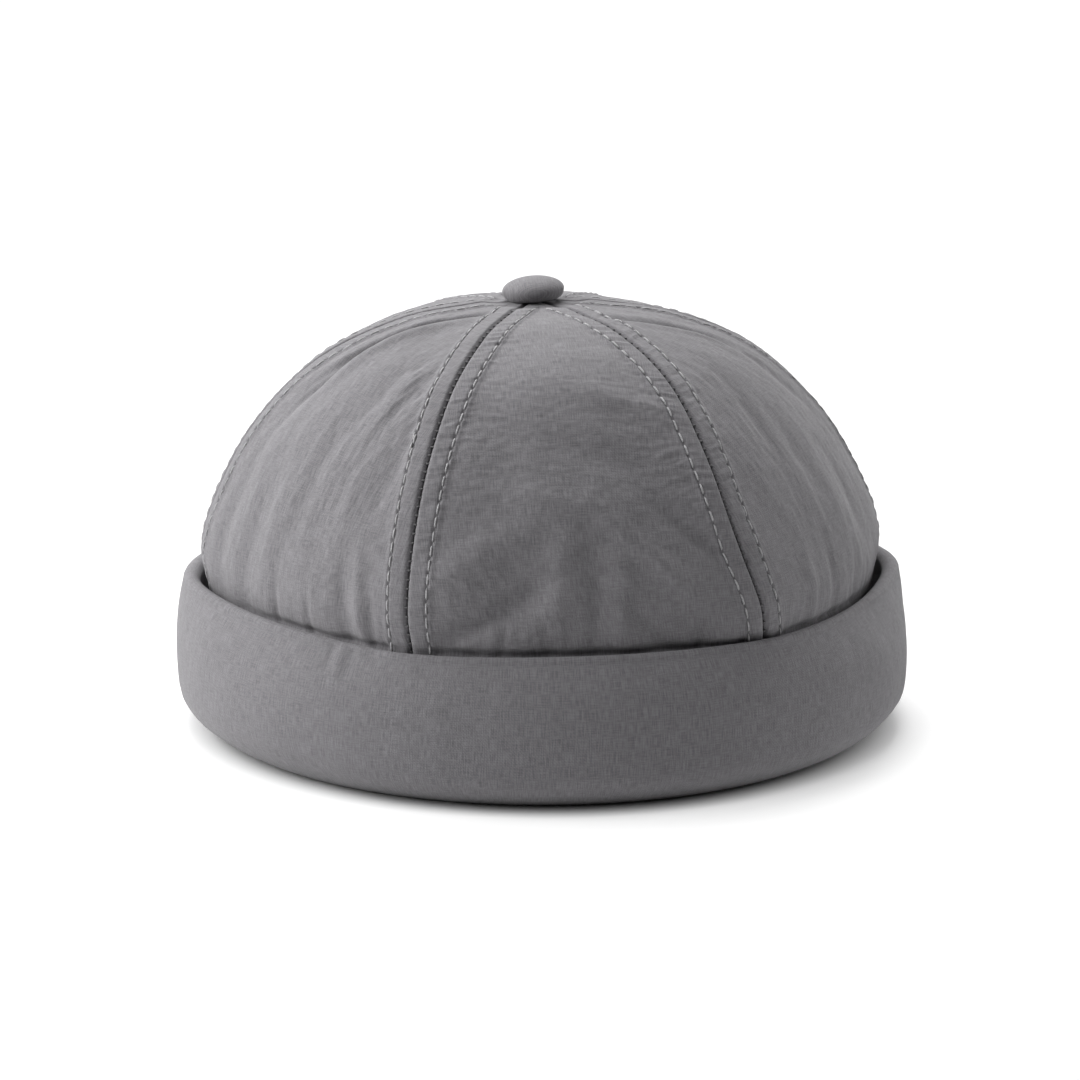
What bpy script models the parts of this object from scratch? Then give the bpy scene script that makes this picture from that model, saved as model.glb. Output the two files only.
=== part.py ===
"""A docker cap: six crown panels, a turned-up cuff and a covered button on top.

The cap stands on the fold of its cuff. +Z is up, the front panel looks along -Y, and the
origin is on the floor at the middle of the cuff. Azimuths are in degrees, 0 at the front
panel's middle and growing towards +X.
"""
import bisect
import math

import bmesh
import bpy
from mathutils import Vector

# Driving dimensions, in metres
CROWN_RADIUS = 0.0975       # widest outside radius of the crown, at its seams
CROWN_HEIGHT = 0.1205       # floor to the cloth under the button
CROWN_CLOTH = 0.0012        # cloth of one crown panel
SEAM_GAP = 0.0004           # between neighbouring panels
CUFF_HEIGHT = 0.0412        # floor to the rim's top line at the front
CUFF_STAND = 0.0065         # how far the cuff's wall stands out past the crown
CUFF_WALL = 0.003           # doubled cloth of the cuff
BULGE_HEIGHT = 0.018        # where the cuff's wall starts to lean in
FOLD_HEIGHT = 0.011         # where the bottom fold meets the wall
FOLD_DEPTH = 0.0125         # how far the bottom fold curls under the wall
HEM_HEIGHT = 0.013          # inner leg of the fold, up inside the crown
HEM_WALL = 0.0016
BUTTON_RADIUS = 0.0087
BUTTON_HEIGHT = 0.0058
BUTTON_EDGE = 0.0024        # height of the button's widest line above its base
SHANK_RADIUS = 0.002
WASHER_RADIUS = 0.005       # plain head that holds the shank inside the crown
WASHER_THICKNESS = 0.001
BUTTON_TILT = math.radians(4.5)
GAP = 0.0003                # between pieces that touch

# Mesh fineness
PANELS = 6
PANEL_COLUMNS = 12
PANEL_ROWS = 18
CUFF_COLUMNS = 84
FOLD_STEPS = 5
WALL_STEPS = 4
RIM_STEPS = 5
BUTTON_SIDES = 32
DOME_STEPS = 6
SEARCH_STEPS = 30           # halvings that find a height on the crown
WELD_DISTANCE = 0.00005

PANEL_NAMES = ("front", "front_right", "back_right", "back", "back_left", "front_left")
PANEL_ANGLE = 360 / PANELS
FOLD_FULLNESS = 1.35        # 2 is a round fold, 1 is a straight bevel
WALL_FULLNESS = 2.6         # a higher power keeps the wall upright for longer below the rim
CORNER_SOFTNESS = 7         # a higher power keeps the seam's ridge narrower

# How far each seam bows aside between the rim and the button, in degrees, from the one left of
# the front panel's middle onwards
SEAM_SWAY = (-0.6, -4.6, -1.0, 1.0, 0.0, -1.0)

# Crown sections from the button down to the lower edge, in shares of CROWN_RADIUS and
# CROWN_HEIGHT: radius at the seams, height, how far the section is from a circle (0) to a
# hexagon with the seams at its corners (1), and the sideways shift of its middle towards +X
CROWN_ROWS = (
    (0.190, 0.986, 0.43, -0.022),
    (0.398, 0.955, 0.59, -0.019),
    (0.629, 0.871, 0.66, -0.012),
    (0.818, 0.728, 0.63, -0.004),
    (0.934, 0.570, 0.51, 0.001),
    (0.990, 0.435, 0.36, 0.003),
    (0.971, 0.340, 0.20, 0.003),
    (0.958, 0.260, 0.14, 0.001),
    (0.952, 0.100, 0.10, 0.000),
)
CROWN_TIP_SHIFT = -0.023
UPRIGHT_ROW = 4             # from this section down the crown's wall stands nearly upright

# Dents and folds of the crown: azimuth, height as a share of CROWN_HEIGHT, half width in
# degrees, half height as a share of CROWN_HEIGHT, lean in degrees of azimuth for each share
# of height, and depth as a share of CROWN_RADIUS (a negative depth is a swell)
CROWN_DENTS = (
    (-13, 0.49, 7, 0.08, 60, 0.011),
    (-2, 0.40, 5, 0.05, 20, 0.007),
    (17, 0.42, 5, 0.06, -40, 0.008),
    (6, 0.66, 12, 0.10, 30, -0.006),
    (-40, 0.47, 4, 0.12, 20, 0.007),
    (-52, 0.62, 5, 0.16, 30, 0.006),
    (-67, 0.50, 4, 0.12, 10, 0.006),
    (-82, 0.93, 8, 0.06, -40, 0.012),
    (75, 0.93, 7, 0.06, 40, 0.004),
    (96, 0.93, 18, 0.10, 0, -0.018),
    (47, 0.50, 5, 0.12, -20, 0.007),
    (66, 0.60, 6, 0.16, -10, 0.006),
    (118, 0.55, 6, 0.13, 20, 0.008),
    (172, 0.50, 8, 0.10, 40, 0.009),
    (-165, 0.72, 9, 0.10, -30, 0.007),
    (-122, 0.52, 6, 0.13, 20, 0.008),
)

# Rim of the cuff round the crown: azimuth, gap to the crown as a share of CUFF_STAND, and
# rise above CUFF_HEIGHT as a share of it
RIM_ROWS = (
    (-180, 0.12, 0.000),
    (-140, 0.20, 0.015),
    (-105, 0.80, 0.060),
    (-80, 0.46, 0.045),
    (-50, 0.12, 0.012),
    (-34, 0.10, -0.008),
    (0, 0.10, 0.000),
    (35, 0.10, 0.004),
    (60, 0.18, 0.008),
    (85, 0.75, 0.058),
    (110, 0.60, 0.045),
    (145, 0.18, 0.010),
    (180, 0.12, 0.000),
)


def on_curve(rows, column, place):
    """Reads a column of a table at a place counted in rows, on a smooth curve through them."""
    low = min(max(int(place), 0), len(rows) - 2)
    share = place - low
    before, after = max(low - 1, 0), min(low + 2, len(rows) - 1)
    start, end = rows[low][column], rows[low + 1][column]
    start_slope = (end - rows[before][column]) / (low + 1 - before)
    end_slope = (rows[after][column] - start) / (after - low)
    return (
        (1 + 2 * share) * (1 - share) ** 2 * start
        + share * (1 - share) ** 2 * start_slope
        + share * share * (3 - 2 * share) * end
        - share * share * (1 - share) * end_slope
    )


# Crown

TIP_RADIUS = SHANK_RADIUS + 2 * GAP
LOWER_EDGE = CUFF_WALL + GAP
SECTIONS = (
    ((TIP_RADIUS / CROWN_RADIUS, 1.0, 0.0, CROWN_TIP_SHIFT),)
    + CROWN_ROWS
    + ((CROWN_ROWS[-1][0], LOWER_EDGE / CROWN_HEIGHT, CROWN_ROWS[-1][2], 0.0),)
)


def dent_depth(azimuth, height):
    """How far the dents push the crown in at an azimuth and a share of its height."""
    depth = 0.0
    for centre, level, width, tall, lean, deep in CROWN_DENTS:
        aside = (azimuth - centre - lean * (height - level) + 180) % 360 - 180
        depth += deep * math.exp(-((aside / width) ** 2) - ((height - level) / tall) ** 2)
    return depth * CROWN_RADIUS


def seam_azimuth(seam, height):
    """Azimuth of a seam at a share of the crown's height; seam 0 is left of the front panel."""
    rim = CUFF_HEIGHT / CROWN_HEIGHT
    above = min(max((height - rim) / (1 - rim), 0), 1)
    bow = math.sin(math.pi * above)
    return (seam - 0.5) * PANEL_ANGLE + SEAM_SWAY[seam % PANELS] * bow


def across_panel(azimuth, height):
    """Where an azimuth lies in its panel at a height, from -1 to 1, with the seams at both ends."""
    seam = math.floor(azimuth / PANEL_ANGLE - 0.5)
    while seam_azimuth(seam + 1, height) < azimuth:
        seam += 1
    start, end = seam_azimuth(seam, height), seam_azimuth(seam + 1, height)
    return 2 * (azimuth - start) / (end - start) - 1


def hexagon_share(across, amount):
    """Radius of a rounded hexagon as a share of the radius at its corners, the seams."""
    half = PANEL_ANGLE / 2
    side = min(abs(across), 1)
    power = CORNER_SOFTNESS
    side = (side - side**power / power) * power / (power - 1)
    flat = math.cos(math.radians(half)) / math.cos(math.radians(half) * side)
    return 1 - amount * (1 - flat)


def crown_point(azimuth, place):
    """Point on the crown's outside at an azimuth and a place along SECTIONS."""
    radius, height, amount, shift = (on_curve(SECTIONS, column, place) for column in range(4))
    flatter = hexagon_share(across_panel(azimuth, height), amount)
    out = radius * CROWN_RADIUS * flatter - dent_depth(azimuth, height)
    angle = math.radians(azimuth)
    return Vector((
        out * math.sin(angle) + shift * CROWN_RADIUS,
        -out * math.cos(angle),
        height * CROWN_HEIGHT,
    ))


def place_at_height(height):
    """Place along SECTIONS where the crown's wall has a height."""
    low, high = UPRIGHT_ROW, len(SECTIONS) - 1
    for _ in range(SEARCH_STEPS):
        middle = (low + high) / 2
        if on_curve(SECTIONS, 1, middle) * CROWN_HEIGHT > height:
            low = middle
        else:
            high = middle
    return (low + high) / 2


def make_panel(name, number, material):
    """One gore of the crown: a grid laid on the crown and thickened inwards."""
    mesh = bmesh.new()
    bmesh.ops.create_grid(mesh, x_segments=PANEL_COLUMNS, y_segments=PANEL_ROWS, size=1)
    for vertex in mesh.verts:
        across, down = vertex.co.x, (1 - vertex.co.y) / 2
        place = down * (len(SECTIONS) - 1)
        radius = on_curve(SECTIONS, 0, place) * CROWN_RADIUS
        height = on_curve(SECTIONS, 1, place)
        left, right = seam_azimuth(number, height), seam_azimuth(number + 1, height)
        half = (right - left) / 2 - math.degrees(SEAM_GAP / 2 / radius)
        vertex.co = crown_point((left + right) / 2 + across * half, place)
    panel = object_from(mesh, name, material)
    wall = panel.modifiers.new("cloth", "SOLIDIFY")
    wall.thickness = CROWN_CLOTH
    wall.offset = -1
    return panel


# Cuff

def rim_at(azimuth):
    """Gap to the crown and rise of the cuff's rim at an azimuth."""
    turned = (azimuth + 180) % 360 - 180
    low = min(bisect.bisect([row[0] for row in RIM_ROWS], turned) - 1, len(RIM_ROWS) - 2)
    span = RIM_ROWS[low + 1][0] - RIM_ROWS[low][0]
    place = low + (turned - RIM_ROWS[low][0]) / span
    return (
        on_curve(RIM_ROWS, 1, place) * CUFF_STAND,
        on_curve(RIM_ROWS, 2, place) * CUFF_HEIGHT,
    )


def flat_radius(point):
    return math.hypot(point.x, point.y)


def fold_share(height, rise):
    """Share of the fold's depth that its curve has reached at a height."""
    left = 1 - min(height / rise, 1)
    return (1 - left**FOLD_FULLNESS) ** (1 / FOLD_FULLNESS)


def cuff_section(azimuth):
    """Closed outline of the cuff at an azimuth, as pairs of radius and height."""
    gap, rise = rim_at(azimuth)
    bead = CUFF_WALL / 2
    rim_height = CUFF_HEIGHT + rise - bead
    rim_inside = flat_radius(crown_point(azimuth, place_at_height(rim_height))) + gap
    rim_middle = rim_inside + bead
    widest = CROWN_RADIUS + CUFF_STAND
    skirt = flat_radius(crown_point(azimuth, len(SECTIONS) - 1))
    hem_outside = skirt - CROWN_CLOTH - GAP
    hem_inside = hem_outside - HEM_WALL
    fold_inside = widest - FOLD_DEPTH
    pocket = skirt + GAP
    outline = [(hem_inside, 0.0)]
    for step in range(FOLD_STEPS + 1):
        height = FOLD_HEIGHT * step / FOLD_STEPS
        reach = fold_inside + FOLD_DEPTH * fold_share(height, FOLD_HEIGHT)
        outline.append((reach, height))
    wall = []
    for step in range(WALL_STEPS + 1):
        share = step / WALL_STEPS
        height = BULGE_HEIGHT + (rim_height - BULGE_HEIGHT) * share
        reach = widest - (widest - rim_middle - bead) * share**WALL_FULLNESS
        wall.append((reach, height))
    outline += wall
    for step in range(1, RIM_STEPS):
        angle = math.pi * step / RIM_STEPS
        outline.append((rim_middle + bead * math.cos(angle), rim_height + bead * math.sin(angle)))
    outline += [(reach - CUFF_WALL, height) for reach, height in reversed(wall)]
    for height in (FOLD_HEIGHT, (FOLD_HEIGHT + CUFF_WALL) / 2, CUFF_WALL):
        share = fold_share(height - CUFF_WALL, FOLD_HEIGHT - CUFF_WALL)
        outline.append((pocket + (widest - CUFF_WALL - pocket) * share, height))
    outline += [(hem_outside, CUFF_WALL), (hem_outside, HEM_HEIGHT), (hem_inside, HEM_HEIGHT)]
    return outline


def make_cuff(material):
    """The turned-up cuff with its bottom fold and inner hem: a loft of unlike sections."""
    mesh = bmesh.new()
    rings = []
    for column in range(CUFF_COLUMNS):
        azimuth = 360 * column / CUFF_COLUMNS
        angle = math.radians(azimuth)
        rings.append([
            mesh.verts.new((reach * math.sin(angle), -reach * math.cos(angle), height))
            for reach, height in cuff_section(azimuth)
        ])
    for ring, following in zip(rings, rings[1:] + rings[:1]):
        for index, vertex in enumerate(ring):
            beside = (index + 1) % len(ring)
            mesh.faces.new((vertex, following[index], following[beside], ring[beside]))
    bmesh.ops.recalc_face_normals(mesh, faces=mesh.faces)
    return object_from(mesh, "cuff", material)


# Button

# Side of the button below its widest line, in shares of BUTTON_EDGE: inset and height
BUTTON_SIDE = ((0.12, 0.5), (0.5, 0.0))


def make_button(material):
    """The covered button, its shank through the crown's tip and the plain head inside."""
    lift = GAP + (BUTTON_RADIUS - TIP_RADIUS) * math.sin(BUTTON_TILT)
    dome = BUTTON_HEIGHT - BUTTON_EDGE
    outline = [(0.0, lift + BUTTON_HEIGHT)]
    for step in range(1, DOME_STEPS + 1):
        angle = math.pi / 2 * step / DOME_STEPS
        outline.append((BUTTON_RADIUS * math.sin(angle), lift + BUTTON_EDGE + dome * math.cos(angle)))
    for inset, height in BUTTON_SIDE:
        outline.append((BUTTON_RADIUS - BUTTON_EDGE * inset, lift + BUTTON_EDGE * height))
    inside = -CROWN_CLOTH - GAP - WASHER_RADIUS * math.sin(BUTTON_TILT)
    outline += [
        (SHANK_RADIUS, lift),
        (SHANK_RADIUS, inside),
        (WASHER_RADIUS, inside),
        (WASHER_RADIUS, inside - WASHER_THICKNESS),
        (0.0, inside - WASHER_THICKNESS),
    ]
    mesh = bmesh.new()
    points = [mesh.verts.new((reach, 0, height)) for reach, height in outline]
    for start, end in zip(points, points[1:]):
        mesh.edges.new((start, end))
    button = object_from(mesh, "crown_button", material)
    turn = button.modifiers.new("turned", "SCREW")
    turn.steps = turn.render_steps = BUTTON_SIDES
    turn.use_merge_vertices = True
    turn.merge_threshold = WELD_DISTANCE
    button.location = (CROWN_TIP_SHIFT * CROWN_RADIUS, 0, CROWN_HEIGHT)
    button.rotation_euler = (0, -BUTTON_TILT, 0)
    return button


# Scene

def object_from(mesh, name, material):
    """Makes the object of a finished bmesh and puts it in the cap's collection."""
    data = bpy.data.meshes.new(name)
    mesh.to_mesh(data)
    mesh.free()
    data.shade_smooth()
    data.materials.append(material)
    piece = bpy.data.objects.new(name, data)
    cap.objects.link(piece)
    return piece


def cloth(name, colour, roughness):
    material = bpy.data.materials.new(name)
    material.use_nodes = True
    shader = material.node_tree.nodes["Principled BSDF"]
    shader.inputs["Base Color"].default_value = (*colour, 1)
    shader.inputs["Roughness"].default_value = roughness
    shader.inputs["Metallic"].default_value = 0.0
    return material


for old in list(bpy.data.objects):
    bpy.data.objects.remove(old)
cap = bpy.data.collections.new("docker_cap")
bpy.context.scene.collection.children.link(cap)

for number, side in enumerate(PANEL_NAMES):
    finish = cloth("panel_cloth_" + side, (0.22, 0.215, 0.225), 0.85)
    make_panel("crown_panel_" + side, number, finish)
make_cuff(cloth("cuff_cloth", (0.21, 0.205, 0.215), 0.9))
make_button(cloth("button_cloth", (0.2, 0.195, 0.205), 0.85))
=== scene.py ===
# %% [markdown]
# # A docker cap
# A docker cap is a brimless cap. Six gores of cloth make its round crown, a doubled cuff is
# turned up round the lower edge, and a covered button hides the point where the gores meet.
# The CAD model already fixes where each piece is and how large it is. It could be dressed with
# materials alone, but cloth lives from its folds, so each piece is modelled again, finely, in the
# place of its CAD node.

# %% Load the fixed frame
import math

import bmesh
import bpy
import numpy as np
from mathutils import Matrix, Vector, noise


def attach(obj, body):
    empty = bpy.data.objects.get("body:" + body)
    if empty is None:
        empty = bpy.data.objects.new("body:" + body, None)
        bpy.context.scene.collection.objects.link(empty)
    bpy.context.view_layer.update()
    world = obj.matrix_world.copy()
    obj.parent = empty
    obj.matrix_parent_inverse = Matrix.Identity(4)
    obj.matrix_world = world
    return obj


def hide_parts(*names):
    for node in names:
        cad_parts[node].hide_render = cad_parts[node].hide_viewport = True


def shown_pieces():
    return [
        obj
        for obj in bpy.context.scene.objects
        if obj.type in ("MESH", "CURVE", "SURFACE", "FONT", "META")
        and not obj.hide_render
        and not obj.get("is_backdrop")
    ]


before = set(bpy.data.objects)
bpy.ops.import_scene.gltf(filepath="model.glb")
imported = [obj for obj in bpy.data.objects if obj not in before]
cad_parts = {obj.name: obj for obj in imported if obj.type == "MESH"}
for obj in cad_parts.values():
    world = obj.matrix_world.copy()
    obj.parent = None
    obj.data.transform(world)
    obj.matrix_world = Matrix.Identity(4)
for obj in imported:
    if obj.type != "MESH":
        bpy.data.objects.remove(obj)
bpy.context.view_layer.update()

MM = 0.001
print("CAD nodes:", ", ".join(sorted(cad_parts)))

# %% [markdown]
# ## Camera
# The photo looks slightly down at the cap, from about a metre away, with the cap turned a little
# to its right. A long lens keeps the crown's outline calm, and its length follows from how large
# the cap is in a picture 1080 pixels wide.

# %% Place the camera
PICTURE_SIDE = 1080
CAMERA_AZIMUTH = -8.5  # degrees, from straight in front towards the cap's right-hand side
CAMERA_HEIGHT_ANGLE = 13.1  # degrees above the floor
CAMERA_DISTANCE = 1.06
TARGET_ASIDE = -0.00053
TARGET_HEIGHT = 0.0506
PIXELS_PER_RADIAN = 3725
SENSOR_WIDTH = 36  # millimetres
FARTHEST_VIEW = 20


def direction(azimuth, elevation):
    """Unit vector from the cap towards an azimuth and an elevation in degrees."""
    turn, rise = math.radians(azimuth), math.radians(elevation)
    return Vector((
        math.sin(turn) * math.cos(rise),
        -math.cos(turn) * math.cos(rise),
        math.sin(rise),
    ))


def linked(name, data):
    """A new object in the scene."""
    thing = bpy.data.objects.new(name, data)
    bpy.context.scene.collection.objects.link(thing)
    return thing


def aim(thing, place, target):
    """Puts a camera or a light at a place and points it at a target."""
    thing.location = place
    thing.rotation_euler = (target - place).to_track_quat("-Z", "Y").to_euler()


lens = bpy.data.cameras.new("photo_lens")
lens.sensor_width = SENSOR_WIDTH
lens.lens = PIXELS_PER_RADIAN * SENSOR_WIDTH / PICTURE_SIDE
lens.clip_end = FARTHEST_VIEW
camera = linked("photo_camera", lens)
target = direction(CAMERA_AZIMUTH + 90, 0) * TARGET_ASIDE + Vector((0, 0, TARGET_HEIGHT))
aim(camera, target + direction(CAMERA_AZIMUTH, CAMERA_HEIGHT_ANGLE) * CAMERA_DISTANCE, target)
bpy.context.scene.camera = camera
print("lens in mm:", round(lens.lens, 1))

# %% [markdown]
# ## Patterns as sums
# Every material here is built from a few nodes whose values are added up. Nodes could be placed by
# hand each time, but a small helper that makes and links a node in one call keeps each material's
# recipe short enough to read.

# %% Helper for materials
class Graph:
    """Adds nodes to a material and links them, so that a pattern reads like a sum."""

    def __init__(self, name):
        self.material = bpy.data.materials.new(name)
        self.material.use_nodes = True
        self.nodes = self.material.node_tree.nodes
        self.links = self.material.node_tree.links
        self.shader = self.nodes["Principled BSDF"]

    def put(self, socket, value):
        if hasattr(value, "links"):
            self.links.new(value, socket)
        elif value is not None:
            socket.default_value = value

    def set(self, name, value):
        """Gives the shader a number, a colour or the result of other nodes."""
        self.put(self.shader.inputs[name], value)

    def math(self, operation, first, second=None):
        node = self.nodes.new("ShaderNodeMath")
        node.operation = operation
        self.put(node.inputs[0], first)
        self.put(node.inputs[1], second)
        return node.outputs["Value"]

    def noise(self, coordinates, scale, detail=2.0):
        """Noise of a scale given for each direction, in waves a metre."""
        mapping = self.nodes.new("ShaderNodeMapping")
        mapping.inputs["Scale"].default_value = scale
        self.links.new(coordinates, mapping.inputs["Vector"])
        node = self.nodes.new("ShaderNodeTexNoise")
        node.inputs["Scale"].default_value = 1.0
        node.inputs["Detail"].default_value = detail
        self.links.new(mapping.outputs["Vector"], node.inputs["Vector"])
        return node.outputs["Fac"]

    def ranged(self, value, low, high, bottom, top):
        node = self.nodes.new("ShaderNodeMapRange")
        node.interpolation_type = "SMOOTHSTEP"
        for name, number in zip(("From Min", "From Max", "To Min", "To Max"), (low, high, bottom, top)):
            node.inputs[name].default_value = number
        self.links.new(value, node.inputs["Value"])
        return node.outputs["Result"]

    def shade(self, colour, share):
        """A colour made darker or lighter by a share that changes over the surface."""
        node = self.nodes.new("ShaderNodeMix")
        node.data_type = "RGBA"
        node.blend_type = "MULTIPLY"
        node.inputs["Factor"].default_value = 1.0
        node.inputs[6].default_value = (*colour, 1)
        self.links.new(share, node.inputs[7])
        return node.outputs[2]


print("helper calls:", [name for name in vars(Graph) if not name.startswith("_")])

# %% [markdown]
# ## Light and floor
# The photo is a studio picture on white: soft light from the left and from high up, a large one
# behind and above, and a narrow one from the right that draws the right edge. The front gets
# little, so the gores turn dark towards the right. Area lights make such light, because their size
# sets how soft a shadow is. The floor is a pale plane with a shine of its own: a little round the
# cap's foot, which keeps the shadow there narrow, and much far away, where no light reaches it.

# %% Build the studio
LIGHTS = (
    # name, azimuth from the camera, elevation, distance, width, height, power in watts
    ("left_softbox", -75, 30, 1.1, 0.8, 0.8, 5.6),
    ("side_softbox", -98, 24, 1.1, 0.9, 0.9, 12.2),
    ("right_softbox", 105, 15, 1.2, 0.5, 0.8, 6.1),
    ("top_softbox", 180, 55, 1.3, 0.9, 0.9, 20.2),
    ("high_softbox", -40, 65, 1.6, 1.2, 1.2, 12.2),
)
SKY_LIGHT = 0.02
FLOOR_SIDE = 16
FLOOR_GREY = 0.62
GLOWS = (
    # from and to in metres from the cap's middle, change of the floor's shine between them
    (0.092, 0.106, 0.42),
    (0.106, 0.19, -0.3),
    (0.8, 1.7, 0.9),
)

for name, azimuth, elevation, distance, width, height, power in LIGHTS:
    softbox = bpy.data.lights.new(name, "AREA")
    softbox.shape = "RECTANGLE"
    softbox.size, softbox.size_y = width, height
    softbox.energy = power
    aim(linked(name, softbox), target + direction(CAMERA_AZIMUTH + azimuth, elevation) * distance, target)

studio = bpy.data.worlds.new("studio")
studio.use_nodes = True
studio.node_tree.nodes["Background"].inputs["Color"].default_value = (1, 1, 1, 1)
studio.node_tree.nodes["Background"].inputs["Strength"].default_value = SKY_LIGHT
bpy.context.scene.world = studio
bpy.context.scene.view_settings.view_transform = "Standard"

sheet = bmesh.new()
bmesh.ops.create_grid(sheet, x_segments=1, y_segments=1, size=FLOOR_SIDE / 2)
floor_mesh = bpy.data.meshes.new("floor")
sheet.to_mesh(floor_mesh)
sheet.free()
floor = linked("floor", floor_mesh)
floor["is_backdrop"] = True

paper = Graph("white_paper")
length = paper.nodes.new("ShaderNodeVectorMath")
length.operation = "LENGTH"
paper.links.new(paper.nodes.new("ShaderNodeTexCoord").outputs["Object"], length.inputs[0])
edge, near, far = (paper.ranged(length.outputs["Value"], start, end, 0, change)
                   for start, end, change in GLOWS)
paper.set("Emission Strength", paper.math("ADD", paper.math("ADD", edge, near), far))
paper.set("Emission Color", (1, 1, 1, 1))
paper.set("Base Color", (FLOOR_GREY, FLOOR_GREY, FLOOR_GREY, 1))
paper.set("Roughness", 1.0)
paper.set("Specular IOR Level", 0.0)
floor_mesh.materials.append(paper.material)
print("lights:", len(LIGHTS))

# %% [markdown]
# ## The cloth
# The whole cap is sewn of one thin, matt, plain-woven cotton in charcoal grey. Seen close, single
# threads are a little thicker or lighter than others, so fine lines run both ways through the
# colour. A picture of cloth could be laid on, but a woven pattern built from nodes follows each
# piece's own grain at its real size. So every piece gets a UV map whose unit is one metre of
# cloth, with U across the threads' run and V along it.

# %% Materials
THREAD_PITCH = 0.45 * MM
THREAD_HEIGHT = 0.05 * MM
CROSSING_SHARE = 0.35  # height of the crossings next to that of uneven threads
# Waves a metre across the cloth, along it and through it
WARP_GRAIN = (4100, 260, 1)
WEFT_GRAIN = (300, 4000, 1)
MOTTLING = (150, 150, 1)
FUZZ = (1800, 1800, 1800)
NOISE_RANGE = (0.3, 0.7)  # where most of a noise's values lie
THREADS_RANGE = (0.7, 1.3)  # the same for the sum of two
THREAD_TONES = (0.76, 1.24)
MOTTLE_TONES = (-0.03, 0.03)
CLOTH_ROUGHNESS = (0.78, 0.92)
FUZZ_TONES = (0.8, 1.2)
PANEL_GREY = (0.1515, 0.147, 0.155)
CUFF_GREY = (0.1495, 0.145, 0.153)
BUTTON_GREY = (0.153, 0.148, 0.156)
THREAD_GREY = (0.30, 0.297, 0.304)
# Painted shade: the seam thread is far darker than the cloth, standing for the shadow deep in its groove
SEAM_THREAD_PAINTED_SHADE_GREY = (0.06, 0.059, 0.061)


def woven_cloth(name, colour, upright):
    """Plain-woven cotton: crossing threads, the upright ones of a given weight, soft mottling."""
    graph = Graph(name)
    nodes, links = graph.nodes, graph.links
    cloth_map = nodes.new("ShaderNodeUVMap").outputs["UV"]
    split = nodes.new("ShaderNodeSeparateXYZ")
    links.new(cloth_map, split.inputs["Vector"])
    turns = math.pi / THREAD_PITCH
    over = graph.math("SINE", graph.math("MULTIPLY", split.outputs["X"], turns))
    under = graph.math("SINE", graph.math("MULTIPLY", split.outputs["Y"], turns))
    crossing = graph.math("MULTIPLY", over, under)
    warp = graph.noise(cloth_map, WARP_GRAIN)
    weft = graph.noise(cloth_map, WEFT_GRAIN)
    threads = graph.math("ADD", graph.math("MULTIPLY", warp, upright),
                         graph.math("MULTIPLY", weft, 2 - upright))
    mottle = graph.noise(cloth_map, MOTTLING, detail=4.0)
    tone = graph.math("ADD", graph.ranged(threads, *THREADS_RANGE, *THREAD_TONES),
                      graph.ranged(mottle, *NOISE_RANGE, *MOTTLE_TONES))
    graph.set("Base Color", graph.shade(colour, tone))
    graph.set("Roughness", graph.ranged(mottle, *NOISE_RANGE, *CLOTH_ROUGHNESS))
    relief = graph.math("ADD", graph.math("MULTIPLY", crossing, CROSSING_SHARE), threads)
    bump = nodes.new("ShaderNodeBump")
    bump.inputs["Strength"].default_value = 1.0
    bump.inputs["Distance"].default_value = THREAD_HEIGHT
    links.new(relief, bump.inputs["Height"])
    graph.set("Normal", bump.outputs["Normal"])
    graph.set("Specular IOR Level", 0.25)
    graph.set("Sheen Weight", 0.12)
    graph.set("Sheen Roughness", 0.5)
    return graph.material


def sewing_thread(name, colour):
    """Matt sewing thread, with a fine fuzz that makes its colour uneven."""
    graph = Graph(name)
    place = graph.nodes.new("ShaderNodeTexCoord").outputs["Object"]
    tone = graph.ranged(graph.noise(place, FUZZ), *NOISE_RANGE, *FUZZ_TONES)
    graph.set("Base Color", graph.shade(colour, tone))
    graph.set("Roughness", 0.6)
    graph.set("Sheen Weight", 0.15)
    return graph.material


panel_cloth = woven_cloth("panel_cloth", PANEL_GREY, 1.15)
cuff_cloth = woven_cloth("cuff_cloth", CUFF_GREY, 1.2)
button_cloth = woven_cloth("button_cloth", BUTTON_GREY, 1.0)
topstitch_thread = sewing_thread("topstitch_thread", THREAD_GREY)
# The seam thread's material is dark as painted shade of the seam's groove
seam_thread_painted_shade = sewing_thread("seam_thread_painted_shade", SEAM_THREAD_PAINTED_SHADE_GREY)
print("materials:", [m.name for m in bpy.data.materials if m.users])

# %% [markdown]
# ## The crown's form
# All six gores lie on one surface: a dome that is nearly round where the head's band is, and turns
# towards a hexagon higher up, because flat cloth between two seams can't bulge as far as the seams
# do. It leans a little to one side, as a soft cap does when it stands by itself. The surface could
# be sculpted, but one formula for the whole crown lets neighbouring gores meet exactly. Its
# sizes and tables are the CAD model's own, so the fine cloth starts from where the CAD panel lies.

# %% Sizes and sections of the crown
CROWN_RADIUS = 0.0975
CROWN_HEIGHT = 0.1205
CROWN_CLOTH = 0.0012
SEAM_GAP = 0.0004
CUFF_HEIGHT = 0.0412
CUFF_STAND = 0.0065
CUFF_WALL = 0.003
GAP = 0.0003
SHANK_RADIUS = 0.002
PANELS = 6
PANEL_ANGLE = 360 / PANELS
CORNER_SOFTNESS = 7
SEAM_SWAY = np.array((-0.6, -4.6, -1.0, 1.0, 0.0, -1.0))
PANEL_NAMES = ("front", "front_right", "back_right", "back", "back_left", "front_left")

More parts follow.
